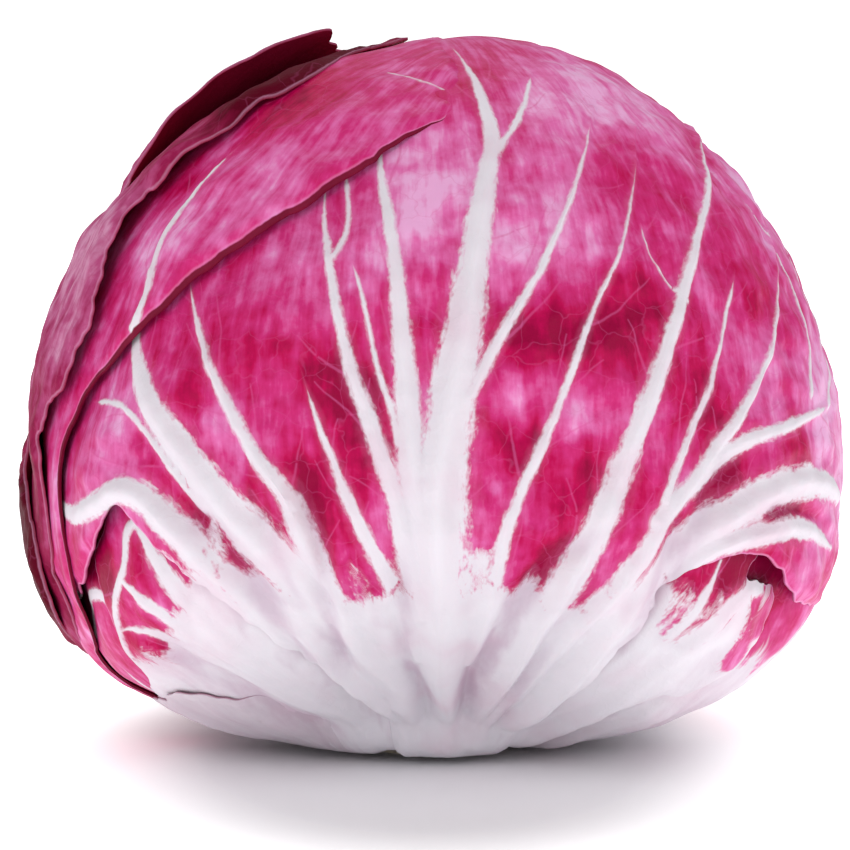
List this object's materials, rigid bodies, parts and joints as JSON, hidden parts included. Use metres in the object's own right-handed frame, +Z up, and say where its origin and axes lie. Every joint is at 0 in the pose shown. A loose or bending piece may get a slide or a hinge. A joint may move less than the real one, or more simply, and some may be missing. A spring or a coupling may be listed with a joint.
{
  "type": "radicchio head",
  "caption": "Round red and white radicchio head with a short cut stem, a dense heart and overlapping ribbed leaves.",
  "frame": {"origin": "under the middle of the head, on the plane that it stands on", "axes": "+Z up, the front leaf's midrib faces -Y, +X to the right as seen from the front"},
  "size_m": [0.1296, 0.1261, 0.1158],
  "materials": {
    "red_leaf": "satin",
    "dark_leaf": "satin",
    "pale_leaf": "satin",
    "stem_flesh": "matt"
  },
  "bodies": {
    "root": {"stem": "stem_flesh", "heart": "dark_leaf", "leaf_back_left": "dark_leaf", "leaf_left": "dark_leaf", "leaf_left_front": "red_leaf", "leaf_base_left": "pale_leaf", "leaf_front": "red_leaf", "leaf_back_right": "red_leaf", "leaf_lower_left": "pale_leaf", "leaf_lower_right": "pale_leaf", "leaf_low_left": "dark_leaf", "leaf_low_right": "pale_leaf"}
  },
  "joints": []
}
